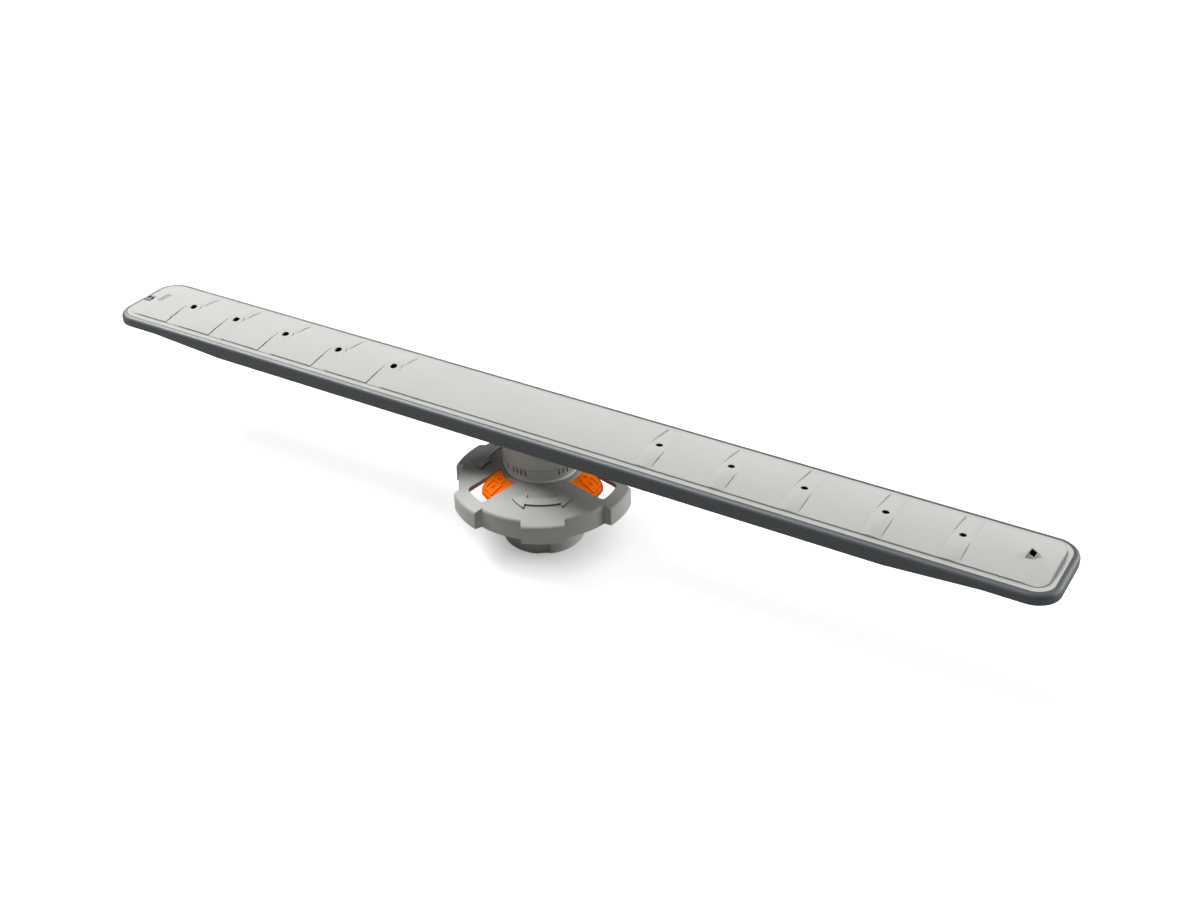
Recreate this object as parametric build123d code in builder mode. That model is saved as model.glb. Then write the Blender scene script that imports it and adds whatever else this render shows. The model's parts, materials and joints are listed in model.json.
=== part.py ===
from build123d import *
from math import cos, radians, sin, sqrt
import os

os.makedirs("parts", exist_ok=True)

# A lower dishwasher spray arm: a long two-shell arm that spins on a fixed neck,
# with a hand knob under it that locks the neck's socket to the machine's inlet.
# The axis of rotation is Z, the arm lies along X, and the socket stands on Z = 0.

# Arm outline
arm_length = 464.0
arm_width = 36.8
cover_corner = 8.0
arm_level = 62.0

# Cover
border = 2.6
border_thickness = 1.6
panel_step = 0.7
crown_height = 2.56
cover_wall = 1.8
spigot_inset = 1.75
spigot_width = 1.2
spigot_depth = 0.7
end_slope_length = 9.0
end_slope_drop = 0.9
cover_gap = 0.1

# Jets, as distances from their own end of the arm
left_jet_insets = (31.4, 58.6, 89.2, 120.8, 152.8)
right_jet_insets = (40.0, 71.6, 106.4, 139.2, 172.8)
jet_diameter = 3.0
jet_lean = 8.0
jet_countersink = 0.15
jet_pad_radius = 3.9
jet_pad_rise = 0.1
band_width = 8.3
band_lift = 0.7
band_sink = 0.45
band_arch = 0.35

# End nozzles, by their distance from the arm's end and from its middle line
right_nozzle_inset = 12.5
right_nozzle_side = -0.6
right_nozzle_tilt = (0.438, -0.421, 0.794)
right_nozzle_rise = 1.5
right_nozzle_foot = (6.2, 6.6)
right_nozzle_top = (3.4, 3.4)
right_nozzle_hole = (2.4, 2.4)
left_nozzle_inset = 4.8
left_nozzle_side = -2.4
left_nozzle_tilt = (-0.10, 0.06, 0.99)
left_nozzle_rise = 0.2
left_nozzle_foot = (4.0, 5.4)
left_nozzle_top = (3.2, 4.4)
left_nozzle_hole = (1.8, 3.0)

# Rotation magnet in the left end
magnet_inset = 11.5
magnet_side = 0.8
magnet_size = (2.4, 6.2, 1.4)
lid_size = (3.0, 7.0, 0.8)
lid_recess = 0.2
lid_edge = 0.2
magnet_gap = 0.1
magnet_wall = 0.8

# Tray
rim_width = 2.75
rim_shoulder = 2.0
rim_depth = 7.0
end_rim_depth = 4.4
end_rim_length = 25.0
taper_length = 39.0
ledge_width = 1.6
tray_wall = 2.0
belly_inset = 2.0
keel_depth = 11.5
keel_flat = 30.0
drain_hole = 2.6
drain_at = 96.0

# Hub
chamber_radius = 14.4
bowl_wall = 1.8
bowl_top_radius = 18.7
bowl_foot_radius = 17.2
bowl_foot = 43.6
bowl_floor = 2.5
bowl_spigot_top = 56.6
bowl_spigot_length = 3.0
bowl_waist = 0.9
seat_gap = 0.05
collar_radius = 17.3
collar_foot = 38.3
collar_wall = 2.0
collar_web = 1.6
collar_edge = 0.6
collar_hole_gap = 0.6
collar_slot_level = 41.9
collar_slot_depth = 0.9
collar_slot_width = 0.9
collar_slot_height = 2.6
collar_slot_pitch = 7.0
collar_slot_angles = (244.0, 267.5, 335.0)
collar_slot_counts = (1, 4, 3)

# Bearing
neck_bore = 9.0
neck_radius = 10.3
sleeve_radius = 11.0
running_gap = 0.05
bush_wall = 1.8
bush_flange = 1.0
bush_flange_thickness = 1.5
bush_foot = 40.0
washer_thickness = 1.0
washer_gap = 0.3
axial_play = 0.3
nut_radius = 13.5
nut_thickness = 2.5
nut_notches = 6
nut_notch_width = 2.4
nut_notch_depth = 1.4
foot_washer_play = 0.15

# Socket and neck
socket_radius = 18.4
socket_bore = 15.2
seat_radius = 16.2
socket_height = 30.0
socket_edge = 0.6
key_width = 4.7
key_depth = 0.7
plug_foot = 24.0
plug_gap = 0.1
plug_edge = 0.6
shoulder_radius = 16.8
shoulder_foot = 34.2
shoulder_thickness = 2.3
ring_section = 1.5
ring_gap = 0.05
ring_level = 27.0
gasket_thickness = 2.4
gasket_hole = 10.5
gasket_lip = 0.9

# Knob
knob_phase = 2.2
knob_radius = 40.8
recess_radius = 37.5
knob_foot = 21.5
knob_wall = 2.2
knob_shoulder = 1.6
knob_gap = 0.1
knob_top = 36.8
shoulder_level = 30.9
lobe_angle = 26.9
lobe_flank = 1.9
lobe_pocket_top = 28.5
lobe_pocket_inset = 3.6
window_width = 13.5
window_start = 18.46
window_end = 34.8
window_corner = 2.0
knob_travel = 45.0

# Hooks under the knob and their windows in the socket
hook_angle = 24.0
hook_start = 23.5
hook_wall = 2.2
hook_gap = 0.35
hook_level = 16.0
hook_height = 3.0
hook_reach = 0.8
hook_play = 0.4
hook_side_play = 1.5

# Lock ring: the tabs' top line and half of their outline, as radius and height or half width
lock_ring_gap = 0.3
tab_root_top = 33.7
tab_thickness = 2.2
tab_top = ((18.76, 35.5), (21.5, 34.9), (25.0, 33.4), (28.9, 30.6))
tab_side = ((24.6, 6.6), (27.4, 5.6), (28.9, 3.7))

# Sizes that follow from the ones above
half_length = arm_length / 2
half_width = arm_width / 2
panel_half = half_width - border
crown_radius = (panel_half**2 + (crown_height - panel_step) ** 2) / (2 * (crown_height - panel_step))
tray_half_width = half_width + rim_width
rim_foot = arm_level - rim_depth
end_rim_foot = arm_level - end_rim_depth
keel_level = arm_level - keel_depth
taper_end = half_length - end_rim_length
taper_start = taper_end - taper_length
border_foot = arm_level - border_thickness
bush_bore = sleeve_radius + running_gap
bush_radius = bush_bore + bush_wall
bowl_floor_top = bowl_foot + bowl_floor
bush_flange_top = bowl_floor_top + bush_flange_thickness
nut_foot = bush_flange_top + washer_thickness + axial_play
neck_top = nut_foot + nut_thickness
shoulder_top = shoulder_foot + shoulder_thickness
plug_radius = seat_radius - plug_gap
mouth_depth = hook_level - hook_play
hook_inner = socket_radius + hook_gap
hook_outer = hook_inner + hook_wall
inner_skirt = recess_radius - knob_wall
dome_slope = (knob_top - shoulder_level) / (recess_radius - shoulder_radius - knob_gap)
windows_at = [knob_phase + 120 * n for n in range(3)]
arrows_at = [knob_phase + 60 + 120 * n for n in range(3)]
on_foot = (Align.CENTER, Align.CENTER, Align.MIN)


def outline(grow):
    # Length, width and corner radius of the cover's outline, grown on every side
    return arm_length + 2 * grow, arm_width + 2 * grow, cover_corner + grow


def box_around(size, margin):
    # Length and width of a rectangle with a margin on every side
    return size[0] + 2 * margin, size[1] + 2 * margin


def polar(radius, angle):
    return radius * cos(radians(angle)), radius * sin(radians(angle))


def save(piece, name):
    piece.part.label = name
    export_step(piece.part, "parts/" + name + ".step")


def crown_at(y):
    # Height of the panel above the border strip, at a distance from its middle line
    return crown_height - crown_radius + sqrt(crown_radius**2 - y**2)


def crown_section(half_span, drop, foot):
    # Cross-section under the crowned top
    top_z = arm_level + crown_height - drop
    edge_z = arm_level + crown_at(half_span) - drop
    with BuildSketch() as section:
        with BuildLine():
            Polyline((-half_span, edge_z), (-half_span, foot), (half_span, foot), (half_span, edge_z))
            ThreePointArc((half_span, edge_z), (0, top_z), (-half_span, edge_z))
        make_face()
    return section.sketch


def crowned_block(inset, drop, foot):
    # A rounded block under the crowned top, drawn in by inset and lowered by drop.
    # Past a straight crease near each end the top slopes down.
    half_span = half_width - inset
    section = crown_section(half_span, drop, foot)
    crease = half_length - border - end_slope_length
    with BuildPart() as block:
        with BuildSketch(Plane.YZ.offset(-crease)):
            add(section)
        extrude(amount=2 * crease)
        for side in (-1, 1):
            with BuildSketch(Plane.YZ.offset(side * crease)):
                add(section)
            extrude(amount=2 * end_slope_length, dir=(side * end_slope_length, 0, -end_slope_drop))
        with BuildSketch(Plane.XY.offset(foot)):
            RectangleRounded(arm_length - 2 * inset, 2 * half_span, cover_corner - inset)
        extrude(amount=half_width, mode=Mode.INTERSECT)
    return block.part


def band_raised():
    # The lifted half of a band, an arched strip
    half = band_width / 2
    crest_z = arm_level + crown_at(panel_half / 2) + band_lift
    depth = panel_step + band_lift + cover_wall / 2
    with BuildPart() as strip:
        with BuildLine(Plane.YZ) as path:
            ThreePointArc(
                (-panel_half - panel_step, arm_level + panel_step),
                (-panel_half / 2, crest_z),
                (0, arm_level + crown_height),
            )
        start = Plane(origin=path.line @ 0, x_dir=(1, 0, 0), z_dir=path.line % 0)
        with BuildSketch(start):
            with BuildLine():
                Polyline((-half, band_arch), (-half, depth), (half, depth), (half, band_arch))
                ThreePointArc((half, band_arch), (0, 0), (-half, band_arch))
            make_face()
        sweep(path=path.line)
        with Locations((0, -panel_half / 2, arm_level)):
            Box(band_width, panel_half, 4 * crown_height, mode=Mode.INTERSECT)
    return strip.part


def band_sunk():
    # What is cut away over the sunk half of a band
    crown_z = arm_level + crown_height
    middle_z = arm_level + crown_at(panel_half / 2) - band_sink
    edge_z = arm_level + panel_step - band_sink
    with BuildPart() as trough:
        with BuildSketch(Plane.YZ):
            with BuildLine():
                ThreePointArc((0, crown_z), (panel_half / 2, middle_z), (panel_half, edge_z))
                Polyline(
                    (panel_half, edge_z),
                    (panel_half, crown_z + band_lift),
                    (0, crown_z + band_lift),
                    (0, crown_z),
                )
            make_face()
        extrude(amount=band_width / 2, both=True)
    return trough.part


def jet_plane(x, side):
    # Plane across a jet's mouth, with Z along the jet; side is 1 on the +X wing and -1 on the other
    lean = radians(jet_lean)
    return Plane(
        origin=(side * x, 0, arm_level + crown_height),
        x_dir=(1, 0, 0),
        z_dir=(0, side * sin(lean), cos(lean)),
    )


def nozzle_plane(spot, tilt, rise):
    # Plane across an end nozzle's square mouth
    height = arm_level + crown_at(spot[1]) + rise
    return Plane(origin=(spot[0], spot[1], height), x_dir=(1, 0, -tilt[0] / tilt[2]), z_dir=tilt)


def nozzle_body(mouth, spot, foot_size, top_size):
    # A small wedge that grows out of the panel up to the nozzle's mouth
    foot = arm_level + panel_step - cover_wall / 2
    with BuildPart() as wedge:
        with BuildSketch(Plane((spot[0], spot[1], foot))):
            Rectangle(*foot_size)
        with BuildSketch(mouth):
            Rectangle(*top_size)
        loft()
    return wedge.part


def on_each_jet(solid):
    # The same solid at every jet, turned round for the -X wing
    return [solid.moved(Location((side * x, 0, 0), (0, 0, 90 - 90 * side))) for x, side in jets]


def tray_form(grow, lift):
    # The tray's body: the outline over a bellied section, under a keel that rises to both ends
    belly_half = tray_half_width - belly_inset
    length, width, corner = outline(grow)
    with BuildPart() as form:
        with BuildSketch(Plane.XY.offset(keel_level + lift)):
            RectangleRounded(length, width, corner)
        extrude(amount=keel_depth - lift)
        with BuildSketch(Plane.YZ):
            with BuildLine():
                Polyline(
                    (-belly_half, rim_foot + lift),
                    (-width, rim_foot + lift),
                    (-width, arm_level),
                    (width, arm_level),
                    (width, rim_foot + lift),
                    (belly_half, rim_foot + lift),
                )
                ThreePointArc(
                    (belly_half, rim_foot + lift), (0, keel_level + lift), (-belly_half, rim_foot + lift)
                )
            make_face()
        extrude(amount=length / 2, both=True, mode=Mode.INTERSECT)
        with BuildSketch(Plane.XZ):
            with BuildLine():
                Polyline(
                    (-length, end_rim_foot + lift),
                    (-taper_end, end_rim_foot + lift),
                    (-taper_start, rim_foot + lift),
                    (-keel_flat, keel_level + lift),
                    (keel_flat, keel_level + lift),
                    (taper_start, rim_foot + lift),
                    (taper_end, end_rim_foot + lift),
                    (length, end_rim_foot + lift),
                    (length, arm_level),
                    (-length, arm_level),
                    close=True,
                )
            make_face()
        extrude(amount=width, both=True, mode=Mode.INTERSECT)
    return form.part


def ring_sectors(inner, outer, start, angle):
    # Three sectors of a ring, each starting at an angle past a window's middle
    with BuildSketch() as sectors:
        with PolarLocations(0, 3, start_angle=windows_at[0] + start):
            Polygon((0, 0), (2 * outer, 0), polar(2 * outer, angle))
        Circle(outer, mode=Mode.INTERSECT)
        Circle(inner, mode=Mode.SUBTRACT)
    return sectors.sketch


def dome_at(radius):
    # Height of the knob's conical top
    return knob_top - dome_slope * (radius - shoulder_radius - knob_gap)


def lobe_sectors(narrower):
    # The six lobes seen from above, with slanted flanks; narrower draws both flanks in
    half = lobe_angle / 2 - narrower
    root_x, root_y = polar(inner_skirt, half + lobe_flank)
    tip_x, tip_y = polar(knob_radius, half)
    far_x, far_y = 2 * tip_x - root_x, 2 * tip_y - root_y
    with BuildSketch() as sectors:
        with PolarLocations(0, 6, start_angle=windows_at[0]):
            Polygon((0, 0), (root_x, -root_y), (far_x, -far_y), (far_x, far_y), (root_x, root_y))
    return sectors.sketch


left_jets = [(half_length - inset, -1) for inset in left_jet_insets]
right_jets = [(half_length - inset, 1) for inset in right_jet_insets]
jets = left_jets + right_jets
right_nozzle_at = (half_length - right_nozzle_inset, right_nozzle_side)
left_nozzle_at = (left_nozzle_inset - half_length, left_nozzle_side)
magnet_at = (magnet_inset - half_length, magnet_side)
right_mouth = nozzle_plane(right_nozzle_at, right_nozzle_tilt, right_nozzle_rise)
left_mouth = nozzle_plane(left_nozzle_at, left_nozzle_tilt, left_nozzle_rise)
lid_foot = arm_level + crown_at(magnet_at[1]) - lid_recess - lid_size[2]
magnet_foot = lid_foot - magnet_gap - magnet_size[2]

# Cover
with BuildPart() as cover:
    with BuildSketch(Plane.XY.offset(border_foot)):
        RectangleRounded(arm_length, arm_width, cover_corner)
    extrude(amount=border_thickness)
    add(crowned_block(border, 0, border_foot))
    add(nozzle_body(right_mouth, right_nozzle_at, right_nozzle_foot, right_nozzle_top))
    add(nozzle_body(left_mouth, left_nozzle_at, left_nozzle_foot, left_nozzle_top))
    add(on_each_jet(band_raised()))
    add(on_each_jet(band_sunk()), mode=Mode.SUBTRACT)
    add(crowned_block(border + cover_wall, cover_wall, border_foot), mode=Mode.SUBTRACT)
    # The spigot that locates the cover inside the tray
    with BuildSketch(Plane.XY.offset(border_foot)):
        RectangleRounded(*outline(-spigot_inset))
        RectangleRounded(*outline(-spigot_inset - spigot_width), mode=Mode.SUBTRACT)
    extrude(amount=-spigot_depth)
    # The pocket for the magnet
    with Locations((magnet_at[0], magnet_at[1], magnet_foot - magnet_wall)):
        Box(*box_around(magnet_size, magnet_gap + magnet_wall), magnet_wall + magnet_size[2], align=on_foot)
    with Locations((magnet_at[0], magnet_at[1], magnet_foot)):
        Box(*box_around(magnet_size, magnet_gap), 2 * cover_wall, align=on_foot, mode=Mode.SUBTRACT)
    with Locations((magnet_at[0], magnet_at[1], lid_foot)):
        Box(*box_around(lid_size, magnet_gap), 2 * cover_wall, align=on_foot, mode=Mode.SUBTRACT)
    # The jets; those of the -X wing have low round pads
    for x, side in left_jets:
        with BuildSketch(jet_plane(x, side).offset(jet_pad_rise)):
            Circle(jet_pad_radius)
        extrude(amount=-cover_wall / 2)
    for x, side in jets:
        mouth = jet_plane(x, side).offset(jet_pad_rise)
        with BuildSketch(mouth):
            Circle(jet_diameter / 2)
        extrude(amount=-2 * cover_wall, mode=Mode.SUBTRACT)
        with BuildSketch(mouth):
            Circle(jet_diameter / 2 + jet_countersink + jet_pad_rise)
        extrude(amount=-jet_countersink - jet_pad_rise, taper=45, mode=Mode.SUBTRACT)
    for mouth, hole_size in [(right_mouth, right_nozzle_hole), (left_mouth, left_nozzle_hole)]:
        with BuildSketch(mouth):
            Rectangle(*hole_size)
        extrude(amount=-4 * cover_wall, mode=Mode.SUBTRACT)
save(cover, "arm_cover")

# Magnet and its lid, let into the cover's left end
with BuildPart() as magnet:
    with Locations((magnet_at[0], magnet_at[1], magnet_foot)):
        Box(*magnet_size, align=on_foot)
save(magnet, "sensor_magnet")

with BuildPart() as magnet_lid:
    with Locations((magnet_at[0], magnet_at[1], lid_foot)):
        Box(*lid_size, align=on_foot)
    chamfer(magnet_lid.edges().group_by(Axis.Z)[-1], lid_edge)
save(magnet_lid, "magnet_lid")

# Tray
with BuildPart() as tray:
    add(tray_form(rim_width, 0))
    fillet(tray.edges().group_by(Axis.Z)[-1], rim_shoulder)
    with BuildSketch(Plane.XY.offset(arm_level)):
        RectangleRounded(*outline(cover_gap))
    extrude(amount=-border_thickness, mode=Mode.SUBTRACT)
    add(tray_form(-ledge_width, tray_wall), mode=Mode.SUBTRACT)
    with Locations((0, 0, keel_level)):
        Cylinder(chamber_radius + bowl_wall + seat_gap, 2 * rim_depth, mode=Mode.SUBTRACT)
    with Locations((drain_at, 0, keel_level), (-drain_at, 0, keel_level)):
        Cylinder(drain_hole / 2, 2 * rim_depth, mode=Mode.SUBTRACT)
save(tray, "arm_tray")

# Hub bowl: a cup under the tray, trimmed to the tray's belly, with a spigot up through the tray
with BuildPart() as bowl:
    with BuildSketch(Plane.XZ):
        with BuildLine():
            waist = (bowl_top_radius - bowl_waist, (bowl_foot + rim_foot) / 2)
            ThreePointArc((bowl_foot_radius, bowl_foot), waist, (bowl_top_radius, rim_foot))
            Polyline(
                (bowl_top_radius, rim_foot),
                (bowl_top_radius, rim_foot + bowl_wall),
                (chamber_radius, rim_foot + bowl_wall),
                (chamber_radius, bowl_foot),
                (bowl_foot_radius, bowl_foot),
            )
        make_face()
    revolve(axis=Axis.Z)
    add(tray_form(rim_width, -seat_gap), mode=Mode.SUBTRACT)
    with BuildSketch(Plane.XY.offset(bowl_foot)):
        Circle(chamber_radius + bowl_wall)
        Circle(chamber_radius, mode=Mode.SUBTRACT)
    extrude(amount=bowl_spigot_top - bowl_foot)
    with BuildSketch(Plane.XY.offset(bowl_foot)):
        Circle(chamber_radius + bowl_wall)
        Circle(bush_radius + seat_gap, mode=Mode.SUBTRACT)
    extrude(amount=bowl_floor)
    # The short spigot that the collar fits on
    with BuildSketch(Plane.XY.offset(bowl_foot)):
        Circle(collar_radius - collar_wall - seat_gap)
        Circle(bush_radius + seat_gap, mode=Mode.SUBTRACT)
    extrude(amount=-bowl_spigot_length)
save(bowl, "hub_bowl")

# Collar: closes the bearing from below, with groups of flushing slots round it
with BuildPart() as collar:
    with BuildSketch(Plane.XY.offset(collar_foot)):
        Circle(collar_radius)
    extrude(amount=bowl_foot - collar_foot)
    chamfer(collar.edges().group_by(Axis.Z)[0], collar_edge)
    with BuildSketch(Plane.XY.offset(collar_foot + collar_web)):
        Circle(collar_radius - collar_wall)
    extrude(amount=bowl_foot - collar_foot, mode=Mode.SUBTRACT)
    with Locations((0, 0, collar_foot)):
        Cylinder(sleeve_radius + collar_hole_gap, 2 * collar_web, mode=Mode.SUBTRACT)
    with BuildSketch(Plane.XY.offset(collar_slot_level - collar_slot_height / 2)):
        for middle, count in zip(collar_slot_angles, collar_slot_counts):
            spread = (count - 1) * collar_slot_pitch
            with PolarLocations(collar_radius, count, middle - spread / 2, spread, endpoint=count > 1):
                Rectangle(2 * collar_slot_depth, collar_slot_width)
    extrude(amount=collar_slot_height, mode=Mode.SUBTRACT)
save(collar, "hub_collar")

# Bearing bush, pressed into the bowl and running on the neck's sleeve
with BuildPart() as bush:
    with BuildSketch(Plane.XY.offset(bush_foot)):
        Circle(bush_radius)
        Circle(bush_bore, mode=Mode.SUBTRACT)
    extrude(amount=bush_flange_top - bush_foot)
    with BuildSketch(Plane.XY.offset(bowl_floor_top)):
        Circle(bush_radius + bush_flange)
        Circle(bush_bore, mode=Mode.SUBTRACT)
    extrude(amount=bush_flange_thickness)
save(bush, "bearing_bush")

# Upper thrust washer, lying on the bush under the nut
with BuildPart() as upper_washer:
    with BuildSketch(Plane.XY.offset(bush_flange_top)):
        Circle(nut_radius)
        Circle(sleeve_radius + washer_gap, mode=Mode.SUBTRACT)
    extrude(amount=washer_thickness)
save(upper_washer, "upper_thrust_washer")

# Neck: the fixed tube, with a plug for the socket, a shoulder and a seat for the sleeve
with BuildPart() as neck:
    with BuildSketch(Plane.XZ):
        with BuildLine():
            Polyline(
                (neck_bore, plug_foot),
                (plug_radius - plug_edge, plug_foot),
                (plug_radius, plug_foot + plug_edge),
                (plug_radius, shoulder_foot),
                (shoulder_radius, shoulder_foot),
                (shoulder_radius, shoulder_top),
                (neck_radius, shoulder_top),
                (neck_radius, neck_top),
                (neck_bore, neck_top),
                close=True,
            )
        make_face()
        with Locations((plug_radius, ring_level)):
            Rectangle(2 * ring_section, ring_section + 2 * ring_gap, mode=Mode.SUBTRACT)
    revolve(axis=Axis.Z)
save(neck, "inlet_neck")

# Sleeve: a steel tube on the neck for the bush to run on
with BuildPart() as sleeve:
    with BuildSketch(Plane.XY.offset(shoulder_top)):
        Circle(sleeve_radius)
        Circle(neck_radius + seat_gap, mode=Mode.SUBTRACT)
    extrude(amount=nut_foot - shoulder_top)
save(sleeve, "neck_sleeve")

# Nut: holds the hub down on the neck
with BuildPart() as nut:
    with BuildSketch(Plane.XY.offset(nut_foot)):
        Circle(nut_radius)
        Circle(neck_radius + seat_gap, mode=Mode.SUBTRACT)
    extrude(amount=nut_thickness)
    with BuildSketch(Plane.XY.offset(neck_top)):
        with PolarLocations(nut_radius, nut_notches):
            Rectangle(nut_radius - neck_radius, nut_notch_width)
    extrude(amount=-nut_notch_depth, mode=Mode.SUBTRACT)
save(nut, "neck_nut")

# Lower thrust washer, on the neck's shoulder under the collar
with BuildPart() as lower_washer:
    with BuildSketch(Plane.XY.offset(shoulder_top)):
        Circle(shoulder_radius - washer_gap)
        Circle(sleeve_radius + washer_gap, mode=Mode.SUBTRACT)
    extrude(amount=collar_foot - foot_washer_play - shoulder_top)
save(lower_washer, "lower_thrust_washer")

# Square sealing ring in the neck's plug
with BuildPart() as seal_ring:
    with BuildSketch(Plane.XY.offset(ring_level - ring_section / 2)):
        Circle(seat_radius - ring_gap)
        Circle(seat_radius - ring_gap - ring_section, mode=Mode.SUBTRACT)
    extrude(amount=ring_section)
save(seal_ring, "neck_seal_ring")

# Socket: the tube that slips over the machine's inlet, with windows for the knob's hooks
hook_windows = ring_sectors(
    socket_bore - hook_reach,
    socket_radius + hook_gap,
    hook_start - hook_side_play,
    hook_angle + knob_travel + 2 * hook_side_play,
)
with BuildPart() as socket:
    with BuildSketch():
        Circle(socket_radius)
        with PolarLocations(socket_radius, 3, start_angle=arrows_at[0]):
            Rectangle(2 * key_depth, key_width, mode=Mode.SUBTRACT)
    extrude(amount=socket_height)
    chamfer(socket.edges().group_by(Axis.Z)[0], socket_edge)
    with BuildSketch():
        Circle(socket_bore)
    extrude(amount=mouth_depth, mode=Mode.SUBTRACT)
    with BuildSketch(Plane.XY.offset(mouth_depth)):
        Circle(seat_radius)
    extrude(amount=socket_height - mouth_depth, mode=Mode.SUBTRACT)
    with BuildSketch(Plane.XY.offset(mouth_depth)):
        add(hook_windows)
    extrude(amount=hook_height + 2 * hook_play, mode=Mode.SUBTRACT)
save(socket, "inlet_socket")

# Gasket in the socket's top that seals on the machine's inlet
with BuildPart() as gasket:
    with BuildSketch(Plane.XZ):
        with BuildLine():
            Polyline(
                (gasket_hole, plug_foot),
                (seat_radius - ring_gap, plug_foot),
                (seat_radius - ring_gap, plug_foot - gasket_thickness),
                (seat_radius - gasket_thickness, plug_foot - gasket_thickness),
                (gasket_hole + gasket_lip, plug_foot - gasket_lip),
                (gasket_hole, plug_foot - gasket_lip),
                close=True,
            )
        make_face()
    revolve(axis=Axis.Z)
save(gasket, "inlet_gasket")

# Lock ring: lies loosely under the neck's shoulder and turns with the knob; its three tabs
# bend up into the knob's windows
tab_foot = [(radius, height - tab_thickness) for radius, height in reversed(tab_top[1:])]
tab_mirrored = [(radius, -half) for radius, half in reversed(tab_side)]
with BuildPart() as lock_ring:
    with BuildSketch(Plane.XZ):
        with BuildLine():
            Polyline(
                (plug_radius + lock_ring_gap, tab_root_top - tab_thickness),
                (plug_radius + lock_ring_gap, tab_root_top),
                (tab_top[0][0], tab_root_top),
                *tab_top,
                *tab_foot,
                (socket_radius, tab_root_top - tab_thickness),
                close=True,
            )
        make_face()
    revolve(axis=Axis.Z)
    with BuildSketch():
        with PolarLocations(0, 3, start_angle=windows_at[0]):
            Polygon((0, -tab_side[0][1]), (0, tab_side[0][1]), *tab_side, *tab_mirrored)
    extrude(amount=knob_top, mode=Mode.INTERSECT)
    with BuildSketch(Plane.XY.offset(socket_height + lock_ring_gap)):
        Circle(socket_radius)
        Circle(plug_radius + lock_ring_gap, mode=Mode.SUBTRACT)
    extrude(amount=shoulder_foot - socket_height - 2 * lock_ring_gap)
save(lock_ring, "lock_ring")

# Knob: a domed grip with lobes and windows, and three hooks that reach through the socket
with BuildSketch() as windows:
    with PolarLocations(0, 3, start_angle=windows_at[0]):
        Rectangle(knob_radius, window_width, align=(Align.MIN, Align.CENTER))
    Circle(window_end, mode=Mode.INTERSECT)
    Circle(window_start, mode=Mode.SUBTRACT)
    fillet(windows.vertices().sort_by_distance((0, 0, 0))[-6:], window_corner)
with BuildPart() as recesses:
    # What is cut away between the lobes, rounded over at the top
    with BuildSketch(Plane.XZ):
        with BuildLine():
            round_foot = dome_at(recess_radius - knob_shoulder) - knob_shoulder
            JernArc((recess_radius, round_foot), (0, 1), knob_shoulder, 90)
            Polyline(
                (recess_radius - knob_shoulder, round_foot + knob_shoulder),
                (recess_radius - knob_shoulder, knob_top),
                (2 * recess_radius, knob_top),
                (2 * recess_radius, 0),
                (recess_radius, 0),
                (recess_radius, round_foot),
            )
        make_face()
    revolve(axis=Axis.Z)
    with BuildSketch():
        Circle(3 * recess_radius)
        add(lobe_sectors(0), mode=Mode.SUBTRACT)
    extrude(amount=knob_top, mode=Mode.INTERSECT)
with BuildPart() as knob:
    with BuildSketch(Plane.XZ) as profile:
        with BuildLine():
            Polyline(
                (shoulder_radius + knob_gap, knob_top),
                (knob_radius, dome_at(knob_radius)),
                (knob_radius, knob_foot),
                (inner_skirt, knob_foot),
                (inner_skirt, dome_at(inner_skirt) - knob_wall),
                (shoulder_radius + knob_gap, knob_top - knob_wall),
                close=True,
            )
        make_face()
        fillet(profile.vertices().group_by(Axis.X)[-1].sort_by(Axis.Y)[-1], knob_shoulder)
    revolve(axis=Axis.Z)
    add(recesses.part, mode=Mode.SUBTRACT)
    with BuildSketch(Plane.XY.offset(knob_foot)):
        add(lobe_sectors(lobe_pocket_inset))
        Circle(knob_radius - knob_wall, mode=Mode.INTERSECT)
    extrude(amount=lobe_pocket_top - knob_foot, mode=Mode.SUBTRACT)
    with BuildSketch(Plane.XY.offset(knob_foot)):
        add(windows.sketch)
    extrude(amount=knob_top - knob_foot, mode=Mode.SUBTRACT)
    # Hook legs and hooks
    with BuildSketch(Plane.XY.offset(hook_level)):
        add(ring_sectors(hook_inner, hook_outer, hook_start, hook_angle))
    extrude(amount=dome_at(hook_outer) - knob_wall / 2 - hook_level)
    with BuildSketch(Plane.XY.offset(hook_level)):
        add(ring_sectors(socket_bore - hook_reach, hook_outer, hook_start, hook_angle))
    extrude(amount=hook_height)
save(knob, "lock_knob")
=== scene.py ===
import json
import math

import bmesh
import bpy
from mathutils import Matrix, Vector


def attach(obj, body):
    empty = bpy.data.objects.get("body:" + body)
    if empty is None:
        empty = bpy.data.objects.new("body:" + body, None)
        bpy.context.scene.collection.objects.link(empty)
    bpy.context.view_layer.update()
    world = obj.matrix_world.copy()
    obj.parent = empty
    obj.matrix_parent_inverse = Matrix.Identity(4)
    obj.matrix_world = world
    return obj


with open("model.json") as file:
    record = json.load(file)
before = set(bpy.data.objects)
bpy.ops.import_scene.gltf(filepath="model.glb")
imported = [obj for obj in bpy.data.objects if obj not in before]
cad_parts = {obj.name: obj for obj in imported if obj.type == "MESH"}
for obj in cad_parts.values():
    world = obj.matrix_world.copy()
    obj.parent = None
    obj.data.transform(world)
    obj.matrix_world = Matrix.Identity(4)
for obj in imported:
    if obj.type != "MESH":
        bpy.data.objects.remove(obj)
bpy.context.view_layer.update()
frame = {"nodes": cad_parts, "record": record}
mm = 0.001
white = (1, 1, 1, 1)
slotOf = {row["node"]: row["material_slot"] for row in frame["record"]["subparts"]}

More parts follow.
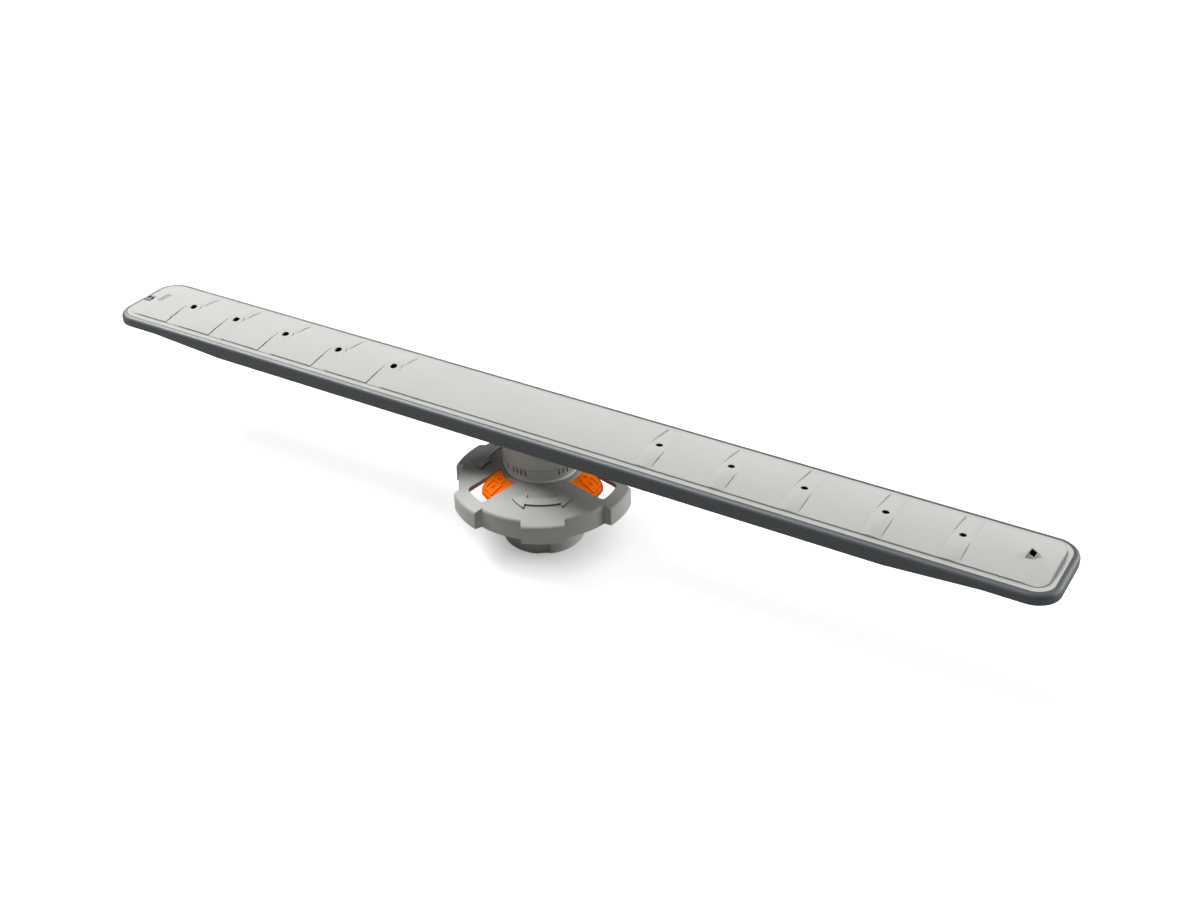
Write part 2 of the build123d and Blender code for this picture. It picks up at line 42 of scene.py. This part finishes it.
# Finish of every material slot: colour, roughness, grain size and depth in mm, how far the colour
# wanders, for moulded pieces how round their edges look in mm, and for the orange ones a glow
finishes = {
    "cover_grey": {
        "color": (0.435, 0.438, 0.42), "roughness": 0.58, "grain": 0.45, "depth": 0.012, "wander": 0.02,
        "edge": 0.2, "specular": 0.05,
    },
    "tray_grey": {
        "color": (0.044, 0.052, 0.057), "roughness": 0.5, "grain": 0.35, "depth": 0.008, "wander": 0.05,
        "edge": 0.2, "specular": 0.65,
    },
    "hub_grey": {
        "color": (0.415, 0.412, 0.388), "roughness": 0.42, "grain": 0.4, "depth": 0.012, "wander": 0.03,
        "edge": 0.35, "specular": 0.15,
    },
    # The knob's grey made a little lighter: a painted highlight on the raised arrows' tops
    "sign_grey": {
        "color": (0.445, 0.442, 0.416), "roughness": 0.42, "grain": 0.4, "depth": 0.012, "wander": 0.03,
        "specular": 0.25,
    },
    "lid_grey": {
        "color": (0.16, 0.17, 0.17), "roughness": 0.5, "grain": 0.3, "depth": 0.01, "wander": 0.05,
    },
    "orange": {
        "color": (0.85, 0.15, 0.0), "roughness": 0.5, "grain": 0.4, "depth": 0.01, "wander": 0.02,
        "edge": 0.3, "specular": 0.03, "glow": 0.27,
    },
    "sign_orange": {
        "color": (0.88, 0.17, 0.0), "roughness": 0.5, "grain": 0.4, "depth": 0.01, "wander": 0.02,
        "specular": 0.03, "glow": 0.27,
    },
    "bush_plastic": {
        "color": (0.68, 0.68, 0.64), "roughness": 0.45, "grain": 0.4, "depth": 0.01, "wander": 0.03,
    },
    "washer_plastic": {
        "color": (0.75, 0.75, 0.72), "roughness": 0.4, "grain": 0.4, "depth": 0.01, "wander": 0.03,
    },
    "rubber": {
        "color": (0.025, 0.025, 0.025), "roughness": 0.65, "grain": 0.25, "depth": 0.02, "wander": 0.1,
    },
    "steel": {
        "color": (0.58, 0.58, 0.59), "roughness": 0.28, "grain": 0.3, "depth": 0.006, "wander": 0.06,
        "metal": 1.0,
    },
    "magnet_steel": {
        "color": (0.32, 0.32, 0.34), "roughness": 0.4, "grain": 0.3, "depth": 0.01, "wander": 0.06,
        "metal": 1.0,
    },
}

# What every finish shares: the cloud that colour and gloss wander by, and the detail of the grain
surfaceLook = {
    "cloudScale": 45.0,
    "cloudDetail": 3.0,
    "cloudRoughness": 0.55,
    "toneStops": (0.3, 0.7),
    "glossRange": (-0.04, 0.06),
    "grainDetail": 2.0,
    "specular": 0.5,
}


def node(tree, kind, **values):
    made = tree.nodes.new(kind)
    for name, value in values.items():
        made.inputs[name].default_value = value
    return made


def makeFinish(name, look):
    # Moulded plastic, rubber or metal: a wandering colour, a wandering gloss and a fine grain
    shared = surfaceLook
    material = bpy.data.materials.new(name)
    material.use_nodes = True
    tree = material.node_tree
    shader = tree.nodes["Principled BSDF"]
    shader.inputs["Metallic"].default_value = look.get("metal", 0.0)
    shader.inputs["Specular IOR Level"].default_value = look.get("specular", shared["specular"])
    place = tree.nodes.new("ShaderNodeTexCoord")
    cloud = node(tree, "ShaderNodeTexNoise", Scale=shared["cloudScale"], Detail=shared["cloudDetail"],
                 Roughness=shared["cloudRoughness"])
    tree.links.new(place.outputs["Object"], cloud.inputs["Vector"])
    tone = tree.nodes.new("ShaderNodeValToRGB")
    shares = (1 - look["wander"], 1 + look["wander"])
    for stop, position, share in zip(tone.color_ramp.elements, shared["toneStops"], shares):
        stop.position = position
        stop.color = [min(1.0, channel * share) for channel in look["color"]] + [1]
    tree.links.new(cloud.outputs["Fac"], tone.inputs["Fac"])
    tree.links.new(tone.outputs["Color"], shader.inputs["Base Color"])
    if "glow" in look:
        # A weak glow stands for the light that comes through the orange plastic
        tree.links.new(tone.outputs["Color"], shader.inputs["Emission Color"])
        shader.inputs["Emission Strength"].default_value = look["glow"]
    gloss = tree.nodes.new("ShaderNodeMapRange")
    below, above = shared["glossRange"]
    gloss.inputs["To Min"].default_value = look["roughness"] + below
    gloss.inputs["To Max"].default_value = look["roughness"] + above
    tree.links.new(cloud.outputs["Fac"], gloss.inputs["Value"])
    tree.links.new(gloss.outputs["Result"], shader.inputs["Roughness"])
    grain = node(tree, "ShaderNodeTexNoise", Scale=1 / (look["grain"] * mm), Detail=shared["grainDetail"])
    tree.links.new(place.outputs["Object"], grain.inputs["Vector"])
    bump = node(tree, "ShaderNodeBump", Strength=1.0, Distance=look["depth"] * mm)
    tree.links.new(grain.outputs["Fac"], bump.inputs["Height"])
    if "edge" in look:
        rounded = node(tree, "ShaderNodeBevel", Radius=look["edge"] * mm)
        tree.links.new(rounded.outputs["Normal"], bump.inputs["Normal"])
    tree.links.new(bump.outputs["Normal"], shader.inputs["Normal"])
    return material


def reckon(tree, operation, first, second=None):
    # A sum on sockets or plain numbers
    step = tree.nodes.new("ShaderNodeMath")
    step.operation = operation
    for place, value in enumerate((first, second)):
        if isinstance(value, (int, float)):
            step.inputs[place].default_value = value
        elif value is not None:
            tree.links.new(value, step.inputs[place])
    return step.outputs["Value"]


def within(tree, source, limit):
    # One where the size of a value is below a limit, else nought
    return reckon(tree, "LESS_THAN", reckon(tree, "ABSOLUTE", source), limit)


def nearLine(tree, place, spot, direction, reach):
    # One within reach of a line through a spot, else nought
    offset = tree.nodes.new("ShaderNodeVectorMath")
    offset.operation = "SUBTRACT"
    offset.inputs[1].default_value = spot
    tree.links.new(place, offset.inputs[0])
    across = tree.nodes.new("ShaderNodeVectorMath")
    across.operation = "CROSS_PRODUCT"
    across.inputs[1].default_value = Vector(direction).normalized()
    tree.links.new(offset.outputs["Vector"], across.inputs[0])
    length = tree.nodes.new("ShaderNodeVectorMath")
    length.operation = "LENGTH"
    tree.links.new(across.outputs["Vector"], length.inputs[0])
    return reckon(tree, "LESS_THAN", length.outputs["Value"], reach)


def steepFace(tree, limit):
    # One on a face that stands more upright than a limit, else nought
    geometry = tree.nodes.new("ShaderNodeNewGeometry")
    facing = tree.nodes.new("ShaderNodeSeparateXYZ")
    tree.links.new(geometry.outputs["True Normal"], facing.inputs["Vector"])
    return within(tree, facing.outputs["Z"], limit)


def addShade(material, where, color):
    # Another colour where a value is one
    tree = material.node_tree
    shader = tree.nodes["Principled BSDF"]
    plain = shader.inputs["Base Color"].links[0].from_socket
    shade = node(tree, "ShaderNodeMixRGB", Color2=[*color, 1])
    tree.links.new(where, shade.inputs["Fac"])
    tree.links.new(plain, shade.inputs["Color1"])
    tree.links.new(shade.outputs["Color"], shader.inputs["Base Color"])
    if shader.inputs["Emission Color"].is_linked:
        tree.links.new(shade.outputs["Color"], shader.inputs["Emission Color"])


# Shade inside the cover's jet holes and its two end nozzles
jetShade = {
    "color": (0.012, 0.011, 0.01),
    "ends": 215 * mm,
    "reach": 1.9 * mm,
    "steep": 0.65,
    # A nozzle is a place, a direction and a reach
    "nozzles": (
        ((219.5 * mm, -0.6 * mm, 66.06 * mm), (0.438, -0.421, 0.794), 1.65 * mm),
        ((-227.2 * mm, -2.4 * mm, 64.7 * mm), (-0.10, 0.06, 0.99), 1.78 * mm),
    ),
}


def darkenJets(material):
    # The walls of the water holes stand in deep shade: steep faces near the middle line or in a nozzle
    tree = material.node_tree
    place = tree.nodes.new("ShaderNodeTexCoord").outputs["Object"]
    parts = tree.nodes.new("ShaderNodeSeparateXYZ")
    tree.links.new(place, parts.inputs["Vector"])
    along = within(tree, parts.outputs["X"], jetShade["ends"])
    hole = reckon(tree, "MULTIPLY", along, within(tree, parts.outputs["Y"], jetShade["reach"]))
    for spot, direction, reach in jetShade["nozzles"]:
        near = nearLine(tree, place, spot, direction, reach)
        hole = reckon(tree, "MAXIMUM", hole, near)
    shaded = reckon(tree, "MULTIPLY", hole, steepFace(tree, jetShade["steep"]))
    addShade(material, shaded, jetShade["color"])


# Faces that meet at a smaller angle than this are shaded as one
smoothBelow = math.radians(28)


def smooth(piece):
    piece.data.shade_smooth()
    bpy.context.view_layer.objects.active = piece
    piece.select_set(True)
    bpy.ops.object.shade_auto_smooth(angle=smoothBelow)
    piece.select_set(False)


def dressFrame():
    # Every CAD piece gets the finish of its slot
    for name, piece in frame["nodes"].items():
        piece.data.materials.clear()
        piece.data.materials.append(materials[slotOf[name]])
        smooth(piece)


# Corners of a sign that lie closer than this become one
weldWithin = 1e-6


def finishPiece(mesh, name, finish, body):
    # Turns a bmesh into a piece of the model
    bmesh.ops.remove_doubles(mesh, verts=mesh.verts, dist=weldWithin)
    bmesh.ops.recalc_face_normals(mesh, faces=mesh.faces)
    data = bpy.data.meshes.new(name)
    mesh.to_mesh(data)
    mesh.free()
    piece = bpy.data.objects.new(name, data)
    bpy.context.scene.collection.objects.link(piece)
    data.materials.append(materials[finish])
    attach(piece, body)
    return piece


def addStrip(mesh, rows, ring=False):
    # A strip drawn out from row to row; a row is near top, far top, far foot, near foot. A ring's last
    # row lies on its first, so it has no end faces
    start = end = mesh.faces.new([mesh.verts.new(point) for point in rows[0]])
    for row in rows[1:]:
        drawn = bmesh.ops.extrude_face_region(mesh, geom=[end, *end.edges, *end.verts])["geom"]
        end = next(part for part in drawn if isinstance(part, bmesh.types.BMFace))
        for corner, point in zip(end.verts, row):
            corner.co = point
    if ring:
        bmesh.ops.delete(mesh, geom=[start, end], context="FACES_ONLY")


# The knob's cone under the arrows: its height at the inner radius, and how it falls outwards
domeTop = 36.8 * mm
domeInner = 16.9 * mm
domeSlope = 0.2864

# Raised double arrows on the knob's dome, one on each lobe between two windows; angles in degrees
arrowLook = {
    "angles": (62.2, 182.2, 302.2),
    "radius": 27.3 * mm,
    "shaftHalf": 1.75 * mm,
    "headHalf": 3.7 * mm,
    "tipHalf": 0.05 * mm,
    # Where a head starts and ends, from the arrow's middle
    "barb": 15.6,
    "tip": 29.0,
    "step": 1.3,
    "rise": 0.8 * mm,
    "sink": 0.3 * mm,
    # The small rounding of the edges
    "edge": 0.15 * mm,
    "edgeSteps": 2,
    "edgeAbove": 50.0,
    # Shade on the sign's upright sides
    "sideColor": (0.13, 0.128, 0.12),
    "steep": 0.5,
}


def domeAt(radius):
    return domeTop - domeSlope * (radius - domeInner)


def arrowRow(turn, half):
    near, far = arrowLook["radius"] - half, arrowLook["radius"] + half
    rise, sink = arrowLook["rise"], arrowLook["sink"]
    row = []
    for radius, lift in ((near, rise), (far, rise), (far, -sink), (near, -sink)):
        x, y = radius * math.cos(turn), radius * math.sin(turn)
        row.append((x, y, domeAt(radius) + lift))
    return row


def soften(piece, look):
    # A small rounded edge all round a raised sign
    bevel = piece.modifiers.new("edge", "BEVEL")
    bevel.width = look["edge"]
    bevel.segments = look["edgeSteps"]
    bevel.limit_method = "ANGLE"
    bevel.angle_limit = math.radians(look["edgeAbove"])


def makeArrow(number, middle):
    # One curved double arrow: a shaft and two heads, lying on the cone
    look = arrowLook
    mesh = bmesh.new()
    steps = math.ceil(2 * look["barb"] / look["step"])
    shaft = [middle - look["barb"] + 2 * look["barb"] * n / steps for n in range(steps + 1)]
    addStrip(mesh, [arrowRow(math.radians(turn), look["shaftHalf"]) for turn in shaft])
    steps = math.ceil((look["tip"] - look["barb"]) / look["step"])
    for side in (-1, 1):
        rows = []
        for n in range(steps + 1):
            share = n / steps
            turn = middle + side * (look["barb"] + (look["tip"] - look["barb"]) * share)
            half = max(look["headHalf"] * (1 - share), look["tipHalf"])
            rows.append(arrowRow(math.radians(turn), half))
        addStrip(mesh, rows)
    piece = finishPiece(mesh, "knob_arrow_" + str(number), "sign_grey", "knob")
    soften(piece, look)


# Padlock signs on the lock ring's tabs; angles in degrees
lockLook = {
    "angles": (2.2, 122.2, 242.2),
    # The tab's bent top as distance from the axis and height
    "tabTop": (
        (18.76 * mm, 35.5 * mm),
        (21.5 * mm, 34.9 * mm),
        (25.0 * mm, 33.4 * mm),
        (28.9 * mm, 30.6 * mm),
    ),
    "line": 0.75 * mm,
    "rise": 0.5 * mm,
    "sink": 0.3 * mm,
    "bodyStart": 22.6 * mm,
    "bodyEnd": 27.5 * mm,
    "bodyHalf": 3.1 * mm,
    "shackleHalf": 1.9 * mm,
    "shackleLeg": 1.0 * mm,
    "shackleSteps": 12,
    "dash": 1.5 * mm,
    "step": 0.7 * mm,
    # A mitred corner may widen the line by one over this
    "leastLean": 0.5,
    # Shade on the sign's upright sides
    "sideColor": (0.62, 0.018, 0.0),
    "steep": 0.55,
}


def tabAt(radius):
    # Height of a tab's bent top at a distance from the axis
    line = lockLook["tabTop"]
    for (near, high), (far, low) in zip(line, line[1:]):
        if radius <= far or far == line[-1][0]:
            return high + (low - high) * (radius - near) / (far - near)


def lockPoint(place, turn, lift):
    # A point over a tab's top, turned round the axis; a place is outwards from the axis and across the tab
    x, y = place
    height = tabAt(math.hypot(x, y)) + lift
    return (x * math.cos(turn) - y * math.sin(turn), x * math.sin(turn) + y * math.cos(turn), height)


def divided(path, closed):
    # The same path with points close enough together to follow the tab's bends
    ends = path[1:] + path[:1] if closed else path[1:]
    points = []
    for start, end in zip(path, ends):
        start, end = Vector(start), Vector(end)
        count = math.ceil((end - start).length / lockLook["step"])
        points += [start.lerp(end, n / count) for n in range(count)]
    return points if closed else points + [Vector(path[-1])]


def addStroke(mesh, turn, path, closed=False):
    # A raised line along a path on a tab, mitred at its corners
    look = lockLook
    half = look["line"] / 2
    points = divided(path, closed)
    count = len(points)
    rows = []
    for n, point in enumerate(points):
        before = points[n - 1] if closed or n else point
        after = points[(n + 1) % count] if closed or n < count - 1 else point
        coming = (point - before).normalized()
        going = (after - point).normalized()
        middle = (coming + going).normalized()
        side = Vector((-middle.y, middle.x))
        along = going if going.length else coming
        lean = max(look["leastLean"], side.dot(Vector((-along.y, along.x))))
        offset = side * half / lean
        near, far = point - offset, point + offset
        corners = ((near, look["rise"]), (far, look["rise"]), (far, -look["sink"]), (near, -look["sink"]))
        rows.append([lockPoint(place, turn, lift) for place, lift in corners])
    if closed:
        rows.append(rows[0])
    addStrip(mesh, rows, closed)


def makeLock(number, middle):
    # An open padlock: a square body, a keyhole dash and a shackle towards the axis
    look = lockLook
    turn = math.radians(middle)
    mesh = bmesh.new()
    start, end, half = look["bodyStart"], look["bodyEnd"], look["bodyHalf"]
    addStroke(mesh, turn, [(start, -half), (end, -half), (end, half), (start, half)], closed=True)
    keyhole = (start + end) / 2
    addStroke(mesh, turn, [(keyhole - look["dash"] / 2, 0), (keyhole + look["dash"] / 2, 0)])
    bow = look["shackleHalf"]
    foot = start - look["shackleLeg"]
    path = [(start, -bow)]
    for n in range(look["shackleSteps"] + 1):
        swing = math.pi * n / look["shackleSteps"]
        path.append((foot - bow * math.sin(swing), -bow * math.cos(swing)))
    path.append((start, bow))
    addStroke(mesh, turn, path)
    finishPiece(mesh, "tab_padlock_" + str(number), "sign_orange", "knob")


# Stage: a flat white floor, a white backdrop and four round lights
stageLook = {
    "floorHalf": 3.0,
    "floorColor": (0.45, 0.45, 0.45),
    "floorRoughness": 0.9,
    "floorSpecular": 0.1,
    # The floor's own glow by the distance from the part's axis, low near the axis as a painted shadow
    "floorGlowAndPaintedShadow": ((10 * mm, 0.32), (46 * mm, 0.8), (500 * mm, 0.8), (1500 * mm, 1.1)),
    "backdrop": 1.0,
    # What the walls of the studio give as soft light, and how bright they look in glossy plastic
    "skyLight": 0.08,
    "skyShine": 0.5,
    "aim": (0.0, 0.0, 0.04),
    # Lights: place, size, power and whether it also lights dull surfaces. As the camera sees it, the
    # key stands high at the left, the rim low at the right and the top light overhead; the card at
    # the back left shows only as a gloss
    "lights": {
        "key": ((-1.27, 0.02, 1.67), 1.1, 61.0, True),
        "rim": ((1.1, 1.0, 0.3), 1.6, 32.0, True),
        "top": ((-0.3, -0.55, 1.8), 1.5, 3.5, True),
        "card": ((-1.3, 0.7, 1.25), 1.0, 22.0, False),
    },
}


def grey(value):
    return [value] * 3 + [1]


def paintFloor():
    # A dull floor that also glows where the camera sees it, so that it stays white round a faint shadow
    paint = bpy.data.materials.new("floor_paint")
    paint.use_nodes = True
    tree = paint.node_tree
    shader = tree.nodes["Principled BSDF"]
    shader.inputs["Base Color"].default_value = [*stageLook["floorColor"], 1]
    shader.inputs["Roughness"].default_value = stageLook["floorRoughness"]
    shader.inputs["Specular IOR Level"].default_value = stageLook["floorSpecular"]
    away = tree.nodes.new("ShaderNodeVectorMath")
    away.operation = "LENGTH"
    tree.links.new(tree.nodes.new("ShaderNodeTexCoord").outputs["Object"], away.inputs[0])
    # The low glow near the axis paints a shadow round the part's foot
    rings = stageLook["floorGlowAndPaintedShadow"]
    glow = rings[0][1]
    for (near, weak), (far, strong) in zip(rings, rings[1:]):
        fade = tree.nodes.new("ShaderNodeMapRange")
        fade.interpolation_type = "SMOOTHSTEP"
        for name, value in (("From Min", near), ("From Max", far), ("To Max", strong - weak)):
            fade.inputs[name].default_value = value
        tree.links.new(away.outputs["Value"], fade.inputs["Value"])
        glow = reckon(tree, "ADD", glow, fade.outputs["Result"])
    seen = tree.nodes.new("ShaderNodeLightPath").outputs["Is Camera Ray"]
    shader.inputs["Emission Color"].default_value = white
    tree.links.new(reckon(tree, "MULTIPLY", seen, glow), shader.inputs["Emission Strength"])
    return paint


def makeFloor():
    mesh = bmesh.new()
    bmesh.ops.create_grid(mesh, x_segments=1, y_segments=1, size=stageLook["floorHalf"])
    data = bpy.data.meshes.new("floor")
    mesh.to_mesh(data)
    mesh.free()
    floor = bpy.data.objects.new("floor", data)
    bpy.context.scene.collection.objects.link(floor)
    data.materials.append(paintFloor())


def makeSky():
    # One brightness for dull surfaces, another seen in gloss, and white straight from the camera
    world = bpy.data.worlds.new("studio")
    bpy.context.scene.world = world
    world.use_nodes = True
    tree = world.node_tree
    backdrop = tree.nodes["Background"]
    path = tree.nodes.new("ShaderNodeLightPath")
    dull, shine = grey(stageLook["skyLight"]), grey(stageLook["skyShine"])
    soft = node(tree, "ShaderNodeMixRGB", Color1=dull, Color2=shine)
    sky = node(tree, "ShaderNodeMixRGB", Color2=grey(stageLook["backdrop"]))
    tree.links.new(path.outputs["Is Glossy Ray"], soft.inputs["Fac"])
    tree.links.new(path.outputs["Is Camera Ray"], sky.inputs["Fac"])
    tree.links.new(soft.outputs["Color"], sky.inputs["Color1"])
    tree.links.new(sky.outputs["Color"], backdrop.inputs["Color"])


def lightAt(name, place, size, power, dull):
    # A round light turned to the part
    data = bpy.data.lights.new(name, "AREA")
    data.shape = "DISK"
    data.size = size
    data.energy = power
    lamp = bpy.data.objects.new(name, data)
    lamp.location = place
    lamp.visible_diffuse = dull
    lamp.rotation_euler = (Vector(stageLook["aim"]) - Vector(place)).to_track_quat("-Z", "Y").to_euler()
    bpy.context.scene.collection.objects.link(lamp)


def makeStage():
    makeFloor()
    makeSky()
    for name, (place, size, power, dull) in stageLook["lights"].items():
        lightAt(name, place, size, power, dull)


# Camera, fitted to the photograph's view; angles in degrees, lens and sensor in mm
cameraLook = {
    "azimuth": 30.8,
    "elevation": 32.1768,
    "roll": -0.7475,
    "target": (0.03736, -0.01225, 0.062),
    "distance": 0.6791,
    "lens": 48.37,
    "sensor": 36.0,
    "clipStart": 0.01,
}


def makeCamera():
    look = cameraLook
    turn, rise, roll = (math.radians(look[key]) for key in ("azimuth", "elevation", "roll"))
    back = Vector((math.sin(turn) * math.cos(rise), -math.cos(turn) * math.cos(rise), math.sin(rise)))
    right = Vector((math.cos(turn), math.sin(turn), 0))
    up = back.cross(right)
    across = right * math.cos(roll) + up * math.sin(roll)
    upward = up * math.cos(roll) - right * math.sin(roll)
    data = bpy.data.cameras.new("camera")
    data.sensor_width = look["sensor"]
    data.lens = look["lens"]
    data.clip_start = look["clipStart"]
    camera = bpy.data.objects.new("camera", data)
    place = Vector(look["target"]) + back * look["distance"]
    turned = Matrix((across, upward, back)).transposed().to_4x4()
    camera.matrix_world = Matrix.Translation(place) @ turned
    bpy.context.scene.collection.objects.link(camera)
    bpy.context.scene.camera = camera


materials = {name: makeFinish(name, look) for name, look in finishes.items()}
darkenJets(materials["cover_grey"])
for sign, look in (("sign_orange", lockLook), ("sign_grey", arrowLook)):
    sides = steepFace(materials[sign].node_tree, look["steep"])
    addShade(materials[sign], sides, look["sideColor"])
dressFrame()
print("frame dressed")
for number, middle in enumerate(arrowLook["angles"]):
    makeArrow(number, middle)
print("arrows made")
for number, middle in enumerate(lockLook["angles"]):
    makeLock(number, middle)
print("padlocks made")
makeStage()
makeCamera()
bpy.context.scene.view_settings.view_transform = "Standard"
print("stage, light and camera set")
